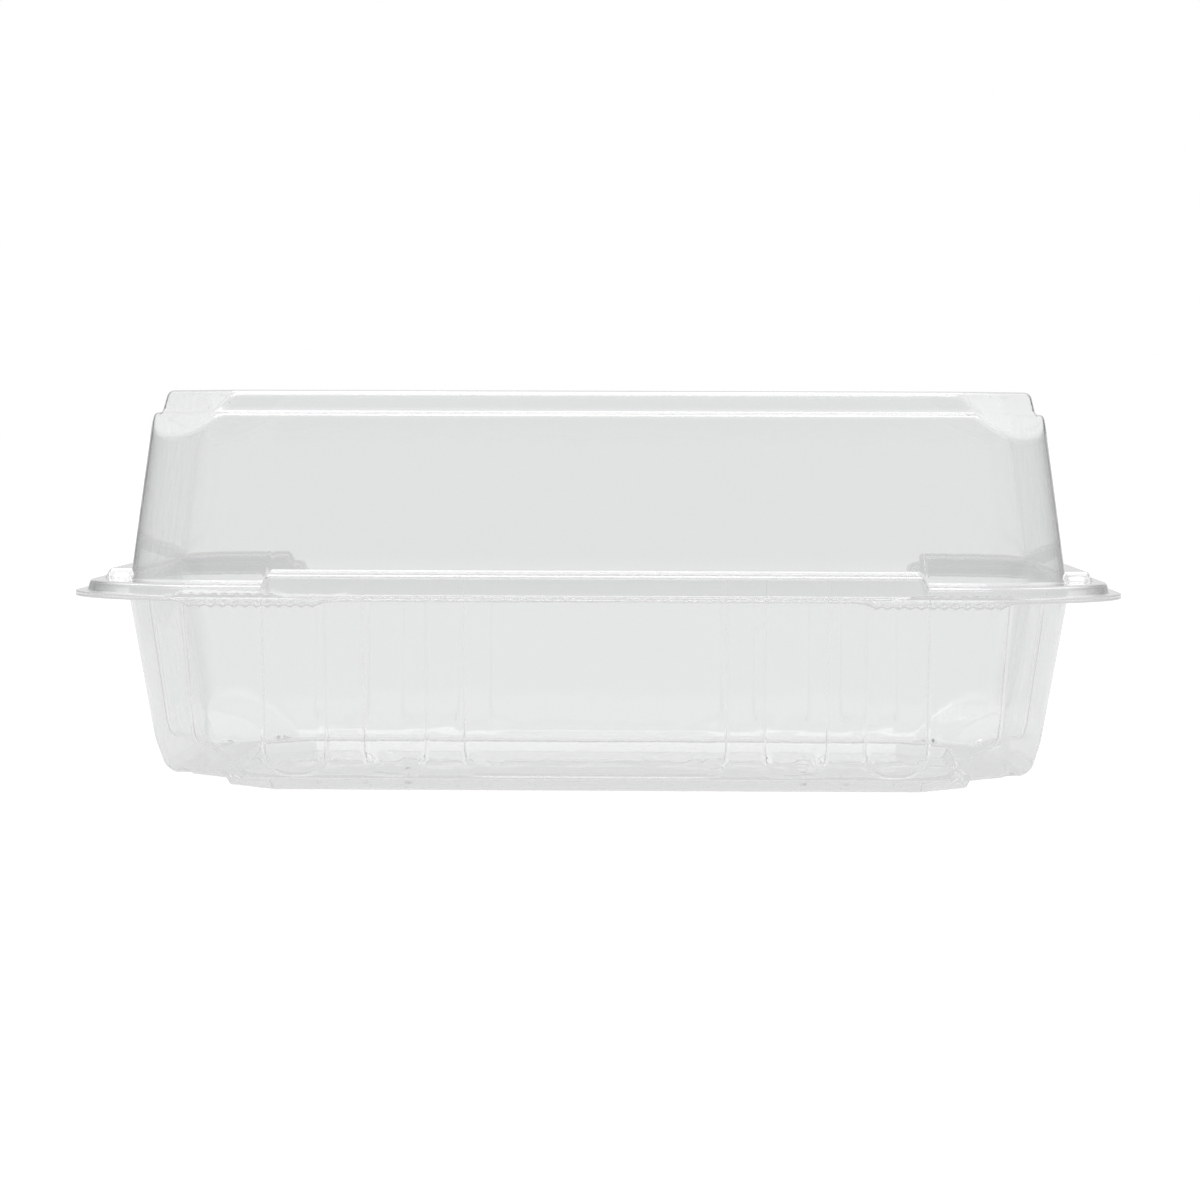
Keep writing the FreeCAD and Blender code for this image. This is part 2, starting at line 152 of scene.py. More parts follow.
# Shares at which rows of the mesh lie, closer together where scoops and panels end.
FLAT_ROWS = (0.3, 0.5, 0.7, 0.85, 0.94)
TRAY_WALL_ROWS = (0.02, 0.04, 0.07, 0.1, 0.14, 0.19, 0.26, 0.4, 0.6, 0.8)
TRAY_LIP_ROWS = (0.4, 0.75)
LID_TOP_ROWS = (0.14, 0.28, 0.42, 0.56, 0.7, 0.84)
LID_STEP_ROWS = (0.33, 0.66)
LID_WALL_ROWS = (0.02, 0.04, 0.065, 0.09, 0.12, 0.15, 0.19, 0.24, 0.3, 0.45, 0.65, 0.85)
MIDDLE_ROW = (0.5,)
LEDGE_ROWS = 10

# Stations along the front, back and ends: the usual spacing, and (low, high, step) where finer.
FRONT_SPACING = 4
TRAY_END_SPACING = 5
PANEL_FINE = 0.7
PANEL_STEP = 0.175
TRAY_FRONT_FINE = (61, 83.2, 0.5)
TRAY_BACK_FINE = (76.6, 82, 0.8)
TRAY_END_FINE = (-41, -36.5, 0.6)
TRAY_CORNER_STEPS = 46
TRAY_CORNER_EDGES = STRIP_EDGES + (90 - STRIP_EDGES[1],)
LID_FRONT_FINE = (70, 83.2, 0.5)
LID_BACK_FINE = (76.0, 82, 0.6)
LID_END_FINE = (-41.5, -36.5, 0.5)
LID_CORNER_STEPS = 64
CORNER_EDGE_STEPS = 7

# The round corners of each sheet's path from its middle to its lip, and how many steps each has.
# A round corner takes up to ROUND_SHARE of the straight runs beside it.
TRAY_RADII = (BOTTOM_ROUND, 0.4, 0.5, 0.6, 0.5, 0.6)
TRAY_STEPS = (14, 3, 3, 2, 3, 2)
LID_RADII = (1.6, 0.6, 0.9, 0.7, 0.9, 0.4, 0.9, 0.5)
LID_STEPS = (4, 2, 3, 3, 3, 2, 3, 2)
ROUND_SHARE = 0.42

# The plastic: tint, roughness and index of refraction, and its waviness from forming (depth in m).
SHEET_TINT = (0.965, 0.97, 0.97, 1)
SHEET_ROUGHNESS = 0.03
SHEET_INDEX = 1.5
SHEET_SHADOW = (0.98, 0.98, 0.98, 1)
WAVE_SCALE = 90
WAVE_DETAIL = 2
WAVE_STRENGTH = 0.35
WAVE_DEPTH = 0.0002

# A ray that has met this many faces of the sheet ends there in a painted glow of this level, as if it saw
# the pale surroundings.
DEEP_RAY = 5.5
DEEP_LEVEL = 0.68

# The floor: its width in m, its colour for bounced light and its colour for a shadow to fall on.
FLOOR_WIDTH = 40
FLOOR_COLOUR = (0.8, 0.8, 0.8, 1)
FLOOR_SHADED = (0.2, 0.2, 0.2, 1)

# Brightness of the backdrop and of the floor's own white, in the open and through the sheet.
WALL_THROUGH = 0.86
FLOOR_OPEN = 0.85
FLOOR_THROUGH = 0.58

# What the sheet mirrors: a pale room, brighter overhead and behind, with dark flags at the sides
# and in front. An edge is the span of one part of a direction of length 1 over which it fades in.
ROOM_LEVEL = 0.6
CEILING_LEVEL = 1.7
CEILING_EDGE = (0.4, 0.7)
FLAG_LEVEL = 0.06
FLAG_EDGE = (0.2, 0.45)
FLAG_TOP = (0.3, 0.5)
FRONT_EDGE = (-0.95, -0.6)
FRONT_SHARE = 0.8
BACK_EDGE = (0.7, 0.95)
BACK_RISE = 0.35

# The lamp: its power, and in degrees its width in the sky and its two turns from straight down.
LAMP_POWER = 1.4
LAMP_WIDTH = 50
LAMP_FROM_FRONT = 20
LAMP_FROM_SIDE = -12

# The camera, fitted to the photograph: places in metres, roll in degrees, lens in millimetres.
CAMERA_PLACE = Vector((0.0182, -0.8748, 0.0823))
CAMERA_AIM = Vector((0.0010, -0.0608, 0.0436))
CAMERA_ROLL = 0.17
CAMERA_LENS = 111
CAMERA_SENSOR = 36
CAMERA_REACH = 50

box_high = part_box("base")[1]
PARTING = frame["record"]["behaviour"]["joints"][0]["pos_m"][2] / MM
LID_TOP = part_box("lid")[1].z / MM
BODY_X = box_high.x / MM - FLANGE
BODY_Y = box_high.y / MM - FLANGE
STRAIGHT_X = BODY_X - CORNER
STRAIGHT_Y = BODY_Y - CORNER


def smooth(value, low, high):
    """Rises from 0 at low to 1 at high, with level ends."""
    share = np.clip((value - low) / (high - low), 0, 1)
    return share * share * (3 - 2 * share)


def soft_limit(distance, width):
    """About 0 below 0 and about the distance above it, with a round turn of this width."""
    return width * np.logaddexp(0, distance / width)


# Stations go once round the pack, anticlockwise from the front left. Each has the centre of its
# corner arc, or a point level with it along a straight side, and the direction that faces outward.

def marks(limit, spacing, fine):
    """Places from -limit to limit: even spacing, and finer wherever (low, high, step) asks."""
    limit = round(float(limit), 3)
    places = set(np.round(np.linspace(-limit, limit, max(2, round(2 * limit / spacing)) + 1), 3))
    for low, high, step in fine:
        count = max(1, round((high - low) / step))
        zone = np.round(np.linspace(low, high, count + 1), 3)
        places = {place for place in places if not low - step / 2 < place < high + step / 2}
        places |= {place for place in zone if abs(place) <= limit}
    return sorted(places | {-limit, limit})


def both_sides(low, high, step):
    """A finer zone and its mirror image."""
    return [(low, high, step), (-high, -low, step)]


def corner_turns(steps, fine):
    """Angles across one round corner: even steps, and finer ones beside the edges of the strips."""
    even = set(np.round(np.linspace(0, 90, steps + 1)[1:-1], 3))
    for edge in fine:
        even = {turn for turn in even if abs(turn - edge) > STRIP_CLEAR}
        even |= set(np.round(np.linspace(edge - STRIP_EDGE, edge + STRIP_EDGE, CORNER_EDGE_STEPS), 3))
    return np.radians(sorted(even))


def stations(front, back, ends, turns):
    """Rows of (x, y, outward angle) once round the pack."""
    rows = []
    rows += [(place, -STRAIGHT_Y, -math.pi / 2) for place in front]
    rows += [(STRAIGHT_X, -STRAIGHT_Y, turn - math.pi / 2) for turn in turns]
    rows += [(STRAIGHT_X, place, 0.0) for place in ends]
    rows += [(STRAIGHT_X, STRAIGHT_Y, turn) for turn in turns]
    rows += [(place, STRAIGHT_Y, math.pi / 2) for place in reversed(back)]
    rows += [(-STRAIGHT_X, STRAIGHT_Y, turn + math.pi / 2) for turn in turns]
    rows += [(-STRAIGHT_X, place, math.pi) for place in reversed(ends)]
    rows += [(-STRAIGHT_X, -STRAIGHT_Y, turn + math.pi) for turn in turns]
    return np.array(rows)


def out_from(ring, offset):
    """Points of the plan outline moved outward by an offset."""
    reach = CORNER + offset
    x = ring[:, 0] + reach * np.cos(ring[:, 2])
    y = ring[:, 1] + reach * np.sin(ring[:, 2])
    return x, y


def foot_outline(ring, inset):
    """Points of the cut-cornered outline of the foot, moved inward by an inset."""
    half_x = BODY_X - (PARTING - LEDGE_Z) * TRAY_DRAFT - FOOT_MARGIN_X - inset
    half_y = BODY_Y - (PARTING - LEDGE_Z) * TRAY_DRAFT - FOOT_MARGIN_Y - inset
    cut = FOOT_CUT - inset * (2 - math.sqrt(2))
    share = 2 / math.pi * np.arctan2(np.abs(np.cos(ring[:, 2])), np.abs(np.sin(ring[:, 2])))
    x = ring[:, 0] / STRAIGHT_X * (half_x - cut) + np.sign(ring[:, 0]) * cut * share
    y = ring[:, 1] / STRAIGHT_Y * (half_y - cut) + np.sign(ring[:, 1]) * cut * (1 - share)
    return x, y


def rounded_path(corners, radii, steps, runs):
    """Rows of (offset, height) per station along straight runs with round corners between them.

    corners holds one (stations, 2) array per corner. radii and steps are per inner corner, and runs
    gives the shares at which extra rows divide each straight run.
    """
    starts, ends, arcs = [corners[0]], [], []
    for index in range(1, len(corners) - 1):
        before, corner, after = corners[index - 1:index + 2]
        back, ahead = before - corner, after - corner
        back_length = np.linalg.norm(back, axis=1, keepdims=True)
        ahead_length = np.linalg.norm(ahead, axis=1, keepdims=True)
        back, ahead = back / back_length, ahead / ahead_length
        half = np.arccos(np.clip((back * ahead).sum(1, keepdims=True), -0.9999, 0.9999)) / 2
        limit = ROUND_SHARE * np.minimum(back_length, ahead_length)
        tangent = np.minimum(radii[index - 1] / np.tan(half), limit)
        first, last = corner + back * tangent, corner + ahead * tangent
        weight = np.sin(half)
        arc = []
        for step in range(steps[index - 1] + 1):
            s = step / steps[index - 1]
            total = (1 - s) ** 2 + 2 * s * (1 - s) * weight + s ** 2
            arc.append(((1 - s) ** 2 * first + 2 * s * (1 - s) * weight * corner + s ** 2 * last) / total)
        arcs.append(arc)
        ends.append(first)
        starts.append(last)
    ends.append(corners[-1])
    rows = [corners[0]]
    for index, (start, end) in enumerate(zip(starts, ends)):
        rows += [start + (end - start) * share for share in runs[index]]
        rows += arcs[index] if index < len(arcs) else [corners[-1]]
    return rows


def pair(offset, height, count):
    """One corner of a path as a (stations, 2) array."""
    return np.stack([np.broadcast_to(offset, count), np.broadcast_to(height, count)], axis=1)


def bead_heights(ring, grow):
    """Heights of the inner and outer parts of the bead over the parting plane, at each station."""
    x, y = out_from(ring, BEAD_SIDE_REACH)
    along = np.abs(x)
    front = (y < 0) * np.clip((FRONT_BEAD_HALF + grow - along) / BEAD_END, 0, BEAD_FRONT)
    side = np.minimum(
        np.clip((y + SIDE_BEAD_START + grow) / BEAD_END, 0, BEAD_SIDE),
        np.clip((along - BACK_BEAD_START + grow) / BEAD_END, 0, BEAD_SIDE),
    )
    low = np.where(y > 0, np.clip((along - HINGE_HALF + grow) / BEAD_END, 0, BEAD_LOW), BEAD_LOW)
    outer = np.maximum(low, front)
    return np.maximum(outer, side), outer


def panel_mask(x, z):
    """1 on the wall panels, 0 off them, with a narrow round edge."""
    mask = np.zeros_like(x)
    for centre, half in PANELS:
        across = np.abs(np.abs(x) - centre) - half + PANEL_ROUND
        down = PANEL_FOOT + PANEL_ROUND - z
        outside = np.hypot(np.maximum(across, 0), np.maximum(down, 0))
        distance = outside + np.minimum(np.maximum(across, down), 0) - PANEL_ROUND
        mask = np.maximum(mask, smooth(-distance, -PANEL_EDGE, PANEL_EDGE))
    return mask


def strip_mask(turns):
    """1 on the narrow strips that run down the two front corners, 0 off them."""
    across = np.degrees(np.arctan2(-np.sin(turns), np.abs(np.cos(turns))))
    low, high = STRIP_EDGES
    rise = smooth(across, low - STRIP_EDGE, low + STRIP_EDGE)
    return rise * (1 - smooth(across, high - STRIP_EDGE, high + STRIP_EDGE))


def scallops(x, start, length, count):
    """How far the scalloped edge of a finger grip stands out, along the front."""
    out = np.zeros_like(x)
    for place in np.linspace(start, start + length, count):
        reach = SCALLOP_RADIUS ** 2 - (np.abs(x) - place) ** 2
        out = np.maximum(out, np.sqrt(np.maximum(reach, 0)) - SCALLOP_RADIUS + SCALLOP_OUT)
    return out


def lip_reach(ring, tab):
    """Offset of the outer lip: wider at the ends, scalloped at the two grips."""
    x, y = out_from(ring, FLANGE)
    plain = FLANGE_BACK + (FLANGE - FLANGE_BACK) * np.cos(ring[:, 2]) ** 2
    return plain + (y < 0) * scallops(x, *tab)


def tab_mask(ring, offset, tab):
    """0 off the finger tabs, rising to 1 at their outer edge, for rows at these offsets."""
    start, length = tab[:2]
    x, y = out_from(ring, FLANGE)
    along = smooth(np.abs(x), start - TAB_FADE, start)
    along *= 1 - smooth(np.abs(x), start + length, start + length + TAB_FADE)
    wave = 1 + SCALLOP_BEND * scallops(x, *tab) / SCALLOP_OUT
    return along * wave * (y < 0) * np.clip((offset - TAB_BEND) / (FLANGE - TAB_BEND), 0, None)


def place_rows(ring, path, tab_rise, tab):
    """Turns rows of (offset, height) into points, and bends the two finger tabs."""
    rows = []
    for row in path:
        x, y = out_from(ring, row[:, 0])
        height = row[:, 1] + tab_rise * tab_mask(ring, row[:, 0], tab)
        rows.append(np.stack([x, y, height], axis=1))
    return rows


def scoop(points, half_x, half_y, cut, level, height, upward):
    """Pushes points out of a cylinder that lies across each corner at 45 degrees."""
    sign = 1 if upward else -1
    turn = (SCOOP_RADIUS - SCOOP_DEPTH) / math.sqrt(2) + height / 2
    axis_out = (half_x + half_y - cut) / math.sqrt(2) + turn
    axis_z = level + sign * ((SCOOP_RADIUS - SCOOP_DEPTH) / math.sqrt(2) - height / 2)
    out = (np.abs(points[..., 0]) + np.abs(points[..., 1])) / math.sqrt(2)
    gap_out, gap_z = out - axis_out, points[..., 2] - axis_z
    distance = np.hypot(gap_out, gap_z)
    push = soft_limit(SCOOP_RADIUS - distance, SCOOP_SOFT)
    step_out, step_z = gap_out / distance * push, gap_z / distance * push
    points[..., 0] += np.sign(points[..., 0]) * step_out / math.sqrt(2)
    points[..., 1] += np.sign(points[..., 1]) * step_out / math.sqrt(2)
    points[..., 2] += step_z
    return points


def inner_rings(edge):
    """Rings of a flat, from near its middle line out to just inside its edge."""
    x, y, z = edge.T
    middle = max(np.abs(x).max() - np.abs(y).max(), 0)
    target = np.clip(x, -middle, middle)
    return [np.stack([target + (x - target) * share, y * share, z], axis=1) for share in FLAT_ROWS]


def surface_normals(grid):
    """Unit normals of a grid of rows and stations that closes on itself round the stations."""
    around = np.roll(grid, -1, axis=1) - np.roll(grid, 1, axis=1)
    along = np.empty_like(grid)
    along[1:-1] = grid[2:] - grid[:-2]
    along[0] = grid[1] - grid[0]
    along[-1] = grid[-1] - grid[-2]
    normals = np.cross(around, along)
    return normals / np.linalg.norm(normals, axis=2, keepdims=True)


def new_piece(name, vertices, faces):
    """A smooth object from a list of points and faces, in metres."""
    mesh = bpy.data.meshes.new(name)
    mesh.from_pydata(vertices, [], faces)
    mesh.validate()
    mesh.shade_smooth()
    piece = bpy.data.objects.new(name, mesh)
    scene.collection.objects.link(piece)
    return piece


def sheet_piece(name, outer, outward):
    """A closed mesh of even thickness: the outer grid, its inner copy, and a strip round the lip."""
    normals = surface_normals(outer) * outward
    inner = outer - normals * SHEET
    rows, count = outer.shape[:2]
    vertices = np.concatenate([outer.reshape(-1, 3), inner.reshape(-1, 3)]) * MM
    here = np.arange(count)
    beside = (here + 1) % count
    faces = []
    for side in (0, 1):
        shift = side * rows * count
        for row in range(rows - 1):
            low, high = shift + row * count, shift + (row + 1) * count
            quads = np.stack([low + here, low + beside, high + beside, high + here], axis=1)
            faces += (quads if (side == 0) == (outward > 0) else quads[:, ::-1]).tolist()
    last, shift = (rows - 1) * count, rows * count
    strip = np.stack([last + here, last + beside, shift + last + beside, shift + last + here], axis=1)
    faces += (strip if outward > 0 else strip[:, ::-1]).tolist()
    cap = here.tolist()
    inner_cap = (shift + here).tolist()
    faces.append(cap[::-1] if outward > 0 else cap)
    faces.append(inner_cap if outward > 0 else inner_cap[::-1])
    return new_piece(name, vertices.tolist(), faces)


def foot_rows(ring):
    """The foot's sloping side, with a round edge below and a soft one where it meets the ledge."""
    slope = LEDGE_Z * FOOT_SLOPE
    places = [(slope + inset, height) for inset, height in FOOT_LOWER_EDGE]
    places += [(slope / 2, LEDGE_Z / 2)]
    places += [(inset, LEDGE_Z - depth) for inset, depth in FOOT_UPPER_EDGE]
    rows = []
    for inset, height in places:
        x, y = foot_outline(ring, inset)
        rows.append(np.stack([x, y, np.full(len(ring), height)], axis=1))
    return rows


def press_walls(grid, ring, first, last):
    """Presses the wall panels out and the corner strips in, on the rows of the wall."""
    push = np.zeros(len(grid))
    push[first:last] = 1
    x, y, z = grid[..., 0], grid[..., 1], grid[..., 2]
    straight = np.abs(np.sin(ring[:, 2])) > 0.999
    shift = PANEL_DEPTH * panel_mask(x, z) * push[:, None] * straight[None, :]
    grid[..., 1] += shift * np.sign(y)
    sunk = STRIP_DEPTH * strip_mask(ring[:, 2])
    grid[..., 0] -= push[:, None] * sunk * np.cos(ring[:, 2])
    grid[..., 1] -= push[:, None] * sunk * np.sin(ring[:, 2])


def tray_ring():
    """Stations round the tray, finer beside the panel edges, the grips and the corner strips."""
    edges = [centre + side * half for centre, half in PANELS for side in (-1, 1)]
    fine = []
    for edge in edges:
        if edge > 0:
            fine += both_sides(edge - PANEL_FINE, edge + PANEL_FINE, PANEL_STEP)
    return stations(
        marks(STRAIGHT_X, FRONT_SPACING, both_sides(*TRAY_FRONT_FINE) + fine),
        marks(STRAIGHT_X, FRONT_SPACING, both_sides(*TRAY_BACK_FINE) + fine),
        marks(STRAIGHT_Y, TRAY_END_SPACING, [TRAY_END_FINE]),
        corner_turns(TRAY_CORNER_STEPS, TRAY_CORNER_EDGES),
    )


def tray_piece():
    """The tray from the middle of its foot, over the ledge, wall and bead, to its lip."""
    ring = tray_ring()
    count = len(ring)
    inner_bead, outer_bead = bead_heights(ring, 0)
    under = PARTING - PART_HALF_GAP - SHEET
    high = np.maximum(PARTING + inner_bead - SHEET, under)
    low = np.maximum(PARTING + outer_bead - SHEET, under)
    wall_foot = -(PARTING - LEDGE_Z) * TRAY_DRAFT
    corners = [
        pair(wall_foot - BOTTOM_ROUND, LEDGE_Z, count),
        pair(wall_foot, LEDGE_Z, count),
        pair((high - PARTING) * TRAY_DRAFT, high, count),
        pair(BEAD_SIDE_REACH - SHEET - (high - under) * BEAD_DRAFT, high, count),
        pair(BEAD_SIDE_REACH - SHEET + BEAD_TOE, low, count),
        pair(BEAD_REACH - SHEET - (low - under) * BEAD_DRAFT, low, count),
        pair(BEAD_REACH - SHEET + BEAD_TOE, under, count),
        pair(lip_reach(ring, TRAY_TAB), under, count),
    ]
    runs = [(), TRAY_WALL_ROWS, MIDDLE_ROW, (), MIDDLE_ROW, (), TRAY_LIP_ROWS]
    path = rounded_path(corners, TRAY_RADII, TRAY_STEPS, runs)
    rows = place_rows(ring, path, -TRAY_TAB_DROP, TRAY_TAB)

    foot = foot_rows(ring)
    shares = np.linspace(0, 1, LEDGE_ROWS + 2)[1:-1]
    ledge = [foot[-1] + (rows[0] - foot[-1]) * share for share in shares]
    below = inner_rings(foot[0]) + foot + ledge
    grid = np.stack(below + rows[1:])

    wall_end = len(below) + TRAY_STEPS[0] + 1 + len(TRAY_WALL_ROWS) + TRAY_STEPS[1] + 1
    press_walls(grid, ring, len(below), wall_end)
    half_x, half_y = BODY_X + wall_foot, BODY_Y + wall_foot
    grid = scoop(grid, half_x, half_y, TRAY_SCOOP_CUT, LEDGE_Z, TRAY_SCOOP_RISE, False)
    return sheet_piece("tray_sheet", grid, 1)


def lid_ring():
    """Stations round the lid, finer along the grips and where the bead changes height."""
    return stations(
        marks(STRAIGHT_X, FRONT_SPACING, both_sides(*LID_FRONT_FINE)),
        marks(STRAIGHT_X, FRONT_SPACING, both_sides(*LID_BACK_FINE)),
        marks(STRAIGHT_Y, FRONT_SPACING, [LID_END_FINE]),
        corner_turns(LID_CORNER_STEPS, ()),
    )


def lid_piece():
    """The lid from the middle of its top, over the step, wall and bead, to its lip."""
    ring = lid_ring()
    count = len(ring)
    grow = NEST_GAP + SHEET
    inner_bead, outer_bead = bead_heights(ring, grow)
    over = PARTING + PART_HALF_GAP + SHEET
    high = np.maximum(PARTING + inner_bead + grow * np.clip(inner_bead, 0, 1), over)
    low = np.maximum(PARTING + outer_bead + grow * np.clip(outer_bead, 0, 1), over)
    base_level = PARTING + PART_HALF_GAP
    step_z = LID_TOP - STEP_DOWN
    step_in = (step_z - base_level) * LID_DRAFT
    ledge = 1 - CORNER_LEDGE_CUT * smooth(np.abs(np.sin(2 * ring[:, 2])), *CORNER_LEDGE_EDGE)
    block_in = step_in + STEP_LEDGE * ledge
    top_in = block_in + STEP_DOWN * LID_DRAFT
    corners = [
        pair(-top_in.max() - TOP_RING, LID_TOP, count),
        pair(-top_in, LID_TOP, count),
        pair(-block_in, step_z, count),
        pair(-step_in, step_z, count),
        pair(-(high - base_level) * LID_DRAFT, high, count),
        pair(BEAD_SIDE_REACH + grow - (high - base_level) * BEAD_DRAFT, high, count),
        pair(BEAD_SIDE_REACH + grow + BEAD_TOE, low, count),
        pair(BEAD_REACH + grow - (low - base_level) * BEAD_DRAFT, low, count),
        pair(BEAD_REACH + grow + BEAD_TOE, over, count),
        pair(lip_reach(ring, LID_TAB), over, count),
    ]
    runs = [LID_TOP_ROWS, LID_STEP_ROWS, (), LID_WALL_ROWS, MIDDLE_ROW, (), MIDDLE_ROW, (), MIDDLE_ROW]
    path = rounded_path(corners, LID_RADII, LID_STEPS, runs)
    rows = place_rows(ring, path, LID_TAB_LIFT, LID_TAB)
    grid = np.stack(inner_rings(rows[0]) + rows)
    half_x, half_y = BODY_X - top_in.max(), BODY_Y - top_in.max()
    grid = scoop(grid, half_x, half_y, LID_SCOOP_CUT, LID_TOP, LID_SCOOP_DROP, True)
    return sheet_piece("lid_sheet", grid, -1)


def hinge_piece():
    """The fold between the two flanges: a narrow C of sheet at the back, fixed in place."""
    middle = PART_HALF_GAP + SHEET / 2
    outer, inner = middle + HINGE_HALF_SHEET, middle - HINGE_HALF_SHEET
    centre_y = box_high.y / MM - PART_HALF_GAP - SHEET
    root_y = centre_y - HINGE_LAP
    turns = np.radians(np.linspace(-90, 90, HINGE_TURNS))
    section = [(root_y, -outer)]
    section += [(centre_y + outer * math.cos(turn), outer * math.sin(turn)) for turn in turns]
    section += [(root_y, outer), (root_y, inner)]
    section += [(centre_y + inner * math.cos(turn), inner * math.sin(turn)) for turn in turns[::-1]]
    section += [(root_y, -inner)]
    places = np.linspace(-HINGE_HALF, HINGE_HALF, HINGE_PLACES)
    count = len(section)
    vertices = [(x * MM, y * MM, (PARTING + z) * MM) for x in places for y, z in section]
    last = (len(places) - 1) * count
    faces = [tuple(reversed(range(count))), tuple(range(last, last + count))]
    for low in range(0, last, count):
        for i in range(count):
            here, beside = low + i, low + (i + 1) % count
            faces.append((here, beside, beside + count, here + count))
    return new_piece("hinge_strip", vertices, faces)


def math_node(nodes, links, operation, first, second):
    """A maths node whose inputs are sockets or plain numbers."""
    node = nodes.new("ShaderNodeMath")
    node.operation = operation
    for socket, value in zip(node.inputs, (first, second)):
        if isinstance(value, (int, float)):
            socket.default_value = value
        else:
            links.new(value, socket)
    return node.outputs[0]


def ramp_node(nodes, links, value, span, levels):
    """A smooth change from one level to the other as a value crosses a span."""
    node = nodes.new("ShaderNodeMapRange")
    node.interpolation_type = "SMOOTHSTEP"
    node.inputs["From Min"].default_value, node.inputs["From Max"].default_value = span
    node.inputs["To Min"].default_value, node.inputs["To Max"].default_value = levels
    links.new(value, node.inputs["Value"])
    return node.outputs["Result"]


def mix_node(nodes, links, share, first, second):
    """A mix of two shaders: the first where the share is 0, the second where it is 1."""
    node = nodes.new("ShaderNodeMixShader")
    links.new(share, node.inputs["Fac"])
    links.new(first.outputs[0], node.inputs[1])
    links.new(second.outputs[0], node.inputs[2])
    return node


def new_material(name):
    material = bpy.data.materials.new(name)
    material.use_nodes = True
    material.node_tree.nodes.clear()
    return material, material.node_tree.nodes, material.node_tree.links


def clear_sheet():
    """Clear formed plastic: glass with a slight tint, a faint waviness from forming, and a painted glow
    where a ray has met many faces.
    """
    material, nodes, links = new_material("clear_sheet")
    shader = nodes.new("ShaderNodeBsdfPrincipled")
    shader.inputs["Base Color"].default_value = SHEET_TINT
    shader.inputs["Transmission Weight"].default_value = 1
    shader.inputs["IOR"].default_value = SHEET_INDEX
    shader.inputs["Roughness"].default_value = SHEET_ROUGHNESS
    waves = nodes.new("ShaderNodeTexNoise")
    waves.inputs["Scale"].default_value = WAVE_SCALE
    waves.inputs["Detail"].default_value = WAVE_DETAIL
    place = nodes.new("ShaderNodeTexCoord")
    links.new(place.outputs["Object"], waves.inputs["Vector"])
    bump = nodes.new("ShaderNodeBump")
    bump.inputs["Strength"].default_value = WAVE_STRENGTH
    bump.inputs["Distance"].default_value = WAVE_DEPTH
    links.new(waves.outputs["Fac"], bump.inputs["Height"])
    links.new(bump.outputs["Normal"], shader.inputs["Normal"])
    clear = nodes.new("ShaderNodeBsdfTransparent")
    clear.inputs["Color"].default_value = SHEET_SHADOW
    # Painted glow: the sheet gives off light of its own at DEEP_LEVEL, in place of the pale surroundings
    # seen through it.
    deep_glow = nodes.new("ShaderNodeEmission")
    deep_glow.inputs["Strength"].default_value = DEEP_LEVEL
    path = nodes.new("ShaderNodeLightPath")
    is_deep = math_node(nodes, links, "GREATER_THAN", path.outputs["Ray Depth"], DEEP_RAY)
    deep = mix_node(nodes, links, is_deep, shader, deep_glow)
    mix = mix_node(nodes, links, path.outputs["Is Shadow Ray"], deep, clear)
    output = nodes.new("ShaderNodeOutputMaterial")
    links.new(mix.outputs["Shader"], output.inputs["Surface"])
    return material


def white_floor():
    """A white table. Part of its white is its own, so that the horizon doesn't show."""
    bpy.ops.mesh.primitive_plane_add(size=FLOOR_WIDTH, location=(0, 0, 0))
    floor = bpy.context.object
    floor.name = "floor"
    material, nodes, links = new_material("floor_white")
    table = nodes.new("ShaderNodeBsdfDiffuse")
    table.inputs["Color"].default_value = FLOOR_COLOUR
    shaded = nodes.new("ShaderNodeBsdfDiffuse")
    shaded.inputs["Color"].default_value = FLOOR_SHADED
    path = nodes.new("ShaderNodeLightPath")
    rise = math_node(nodes, links, "MULTIPLY", path.outputs["Is Camera Ray"], FLOOR_OPEN - FLOOR_THROUGH)
    glow = nodes.new("ShaderNodeEmission")
    links.new(math_node(nodes, links, "ADD", rise, FLOOR_THROUGH), glow.inputs["Strength"])
    bright = nodes.new("ShaderNodeAddShader")
    links.new(shaded.outputs[0], bright.inputs[0])
    links.new(glow.outputs[0], bright.inputs[1])
    mix = mix_node(nodes, links, path.outputs["Is Diffuse Ray"], bright, table)
    output = nodes.new("ShaderNodeOutputMaterial")
    links.new(mix.outputs[0], output.inputs["Surface"])
    floor.data.materials.append(material)


def room_level(nodes, links):
    """Brightness of the room that the sheet mirrors, in each direction."""
    place = nodes.new("ShaderNodeTexCoord")
    parts = nodes.new("ShaderNodeSeparateXYZ")
    links.new(place.outputs["Generated"], parts.inputs["Vector"])
    across = math_node(nodes, links, "ABSOLUTE", parts.outputs["X"], 0)
    side = ramp_node(nodes, links, across, FLAG_EDGE, (0, 1))
    low = ramp_node(nodes, links, parts.outputs["Z"], FLAG_TOP, (1, 0))
    front = ramp_node(nodes, links, parts.outputs["Y"], FRONT_EDGE, (FRONT_SHARE, 0))
    flag = math_node(nodes, links, "MULTIPLY", math_node(nodes, links, "MAXIMUM", side, front), low)
    ceiling = ramp_node(nodes, links, parts.outputs["Z"], CEILING_EDGE, (ROOM_LEVEL, CEILING_LEVEL))
    back = ramp_node(nodes, links, parts.outputs["Y"], BACK_EDGE, (0, BACK_RISE))
    shade = math_node(nodes, links, "MULTIPLY", flag, FLAG_LEVEL - ROOM_LEVEL)
    return math_node(nodes, links, "ADD", math_node(nodes, links, "ADD", ceiling, back), shade)


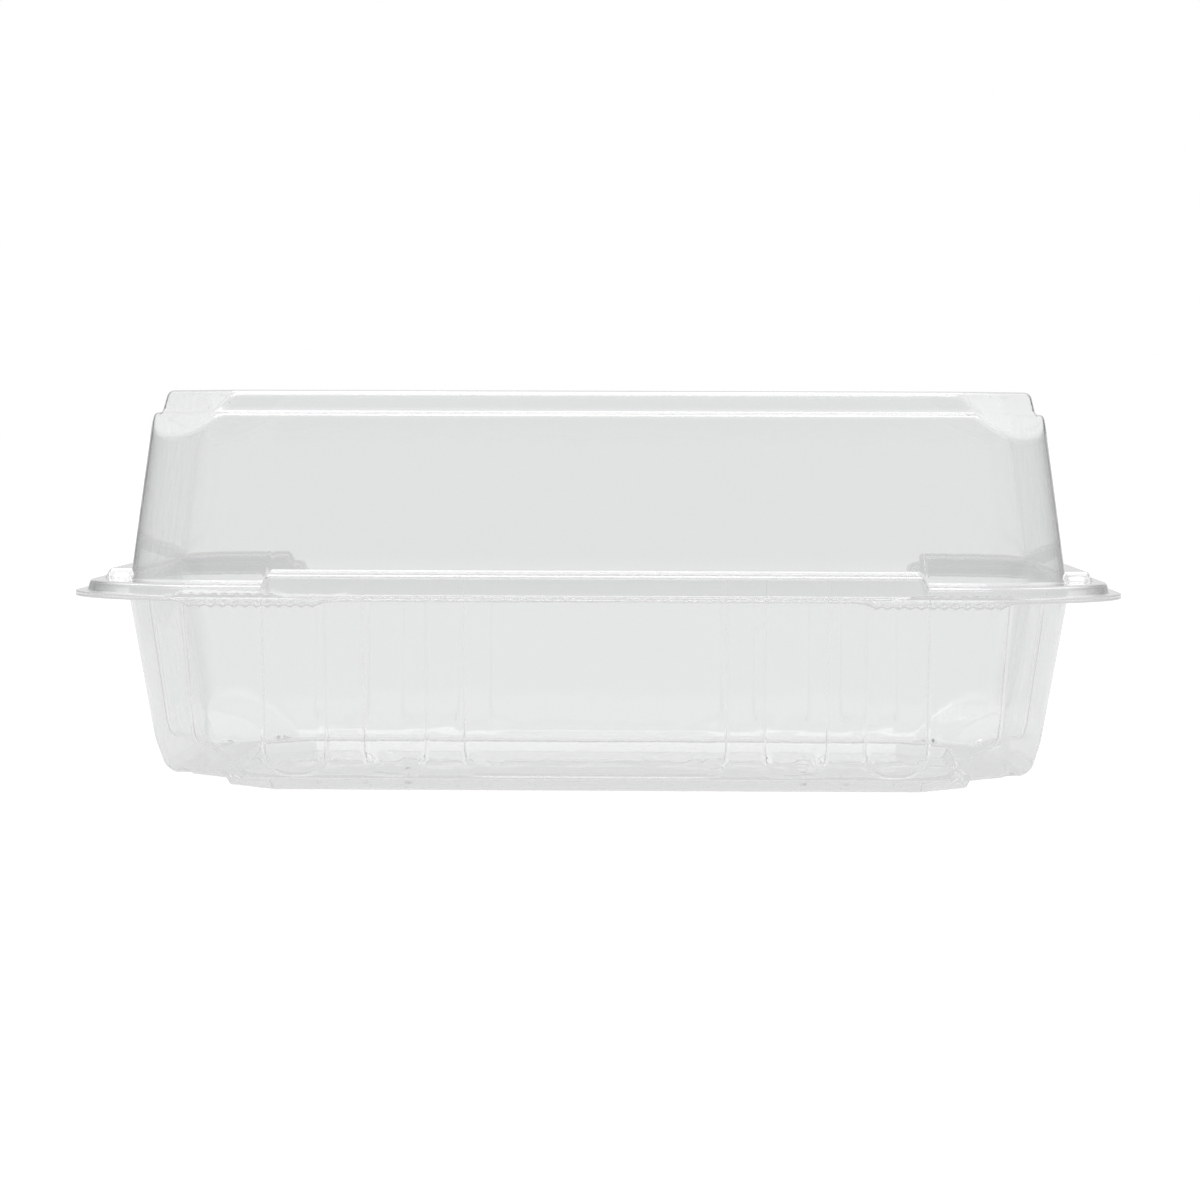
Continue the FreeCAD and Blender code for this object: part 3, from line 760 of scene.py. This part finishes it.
def studio():
    """White behind the pack, a little darker through the sheet, and the room that the sheet mirrors."""
    world = bpy.data.worlds.new("studio")
    scene.world = world
    world.use_nodes = True
    nodes, links = world.node_tree.nodes, world.node_tree.links
    nodes.clear()
    path = nodes.new("ShaderNodeLightPath")
    white = nodes.new("ShaderNodeBackground")
    white.inputs["Color"].default_value = (1, 1, 1, 1)
    level = math_node(nodes, links, "MAXIMUM", path.outputs["Is Camera Ray"], WALL_THROUGH)
    links.new(level, white.inputs["Strength"])
    room = nodes.new("ShaderNodeBackground")
    links.new(room_level(nodes, links), room.inputs["Strength"])
    bounces = math_node(nodes, links, "ADD", path.outputs["Glossy Depth"], path.outputs["Diffuse Depth"])
    mirrored = math_node(nodes, links, "GREATER_THAN", bounces, 0.5)
    mix = mix_node(nodes, links, mirrored, white, room)
    output = nodes.new("ShaderNodeOutputWorld")
    links.new(mix.outputs[0], output.inputs["Surface"])


def sky_light():
    """One wide soft lamp overhead, a little in front, that lights the whole table evenly."""
    data = bpy.data.lights.new("overhead", "SUN")
    data.energy = LAMP_POWER
    data.angle = math.radians(LAMP_WIDTH)
    lamp = bpy.data.objects.new("overhead", data)
    scene.collection.objects.link(lamp)
    lamp.rotation_euler = (math.radians(LAMP_FROM_FRONT), math.radians(LAMP_FROM_SIDE), 0)


def add_camera():
    data = bpy.data.cameras.new("camera")
    data.sensor_width = CAMERA_SENSOR
    data.lens = CAMERA_LENS
    data.clip_end = CAMERA_REACH
    camera = bpy.data.objects.new("camera", data)
    scene.collection.objects.link(camera)
    roll = Quaternion((0, 0, 1), math.radians(CAMERA_ROLL))
    camera.rotation_mode = "QUATERNION"
    camera.location = CAMERA_PLACE
    camera.rotation_quaternion = (CAMERA_AIM - CAMERA_PLACE).to_track_quat("-Z", "Y") @ roll
    scene.camera = camera


add_camera()
plastic = clear_sheet()
tray = tray_piece()
lid = lid_piece()
for piece, body, node in ((tray, "tray", "base"), (lid, "cover", "lid")):
    piece.data.materials.append(plastic)
    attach(piece, body)
    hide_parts(node)

strip = hinge_piece()
strip.data.materials.append(plastic)
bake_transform(strip)

white_floor()
studio()
sky_light()
scene.view_settings.view_transform = "Standard"
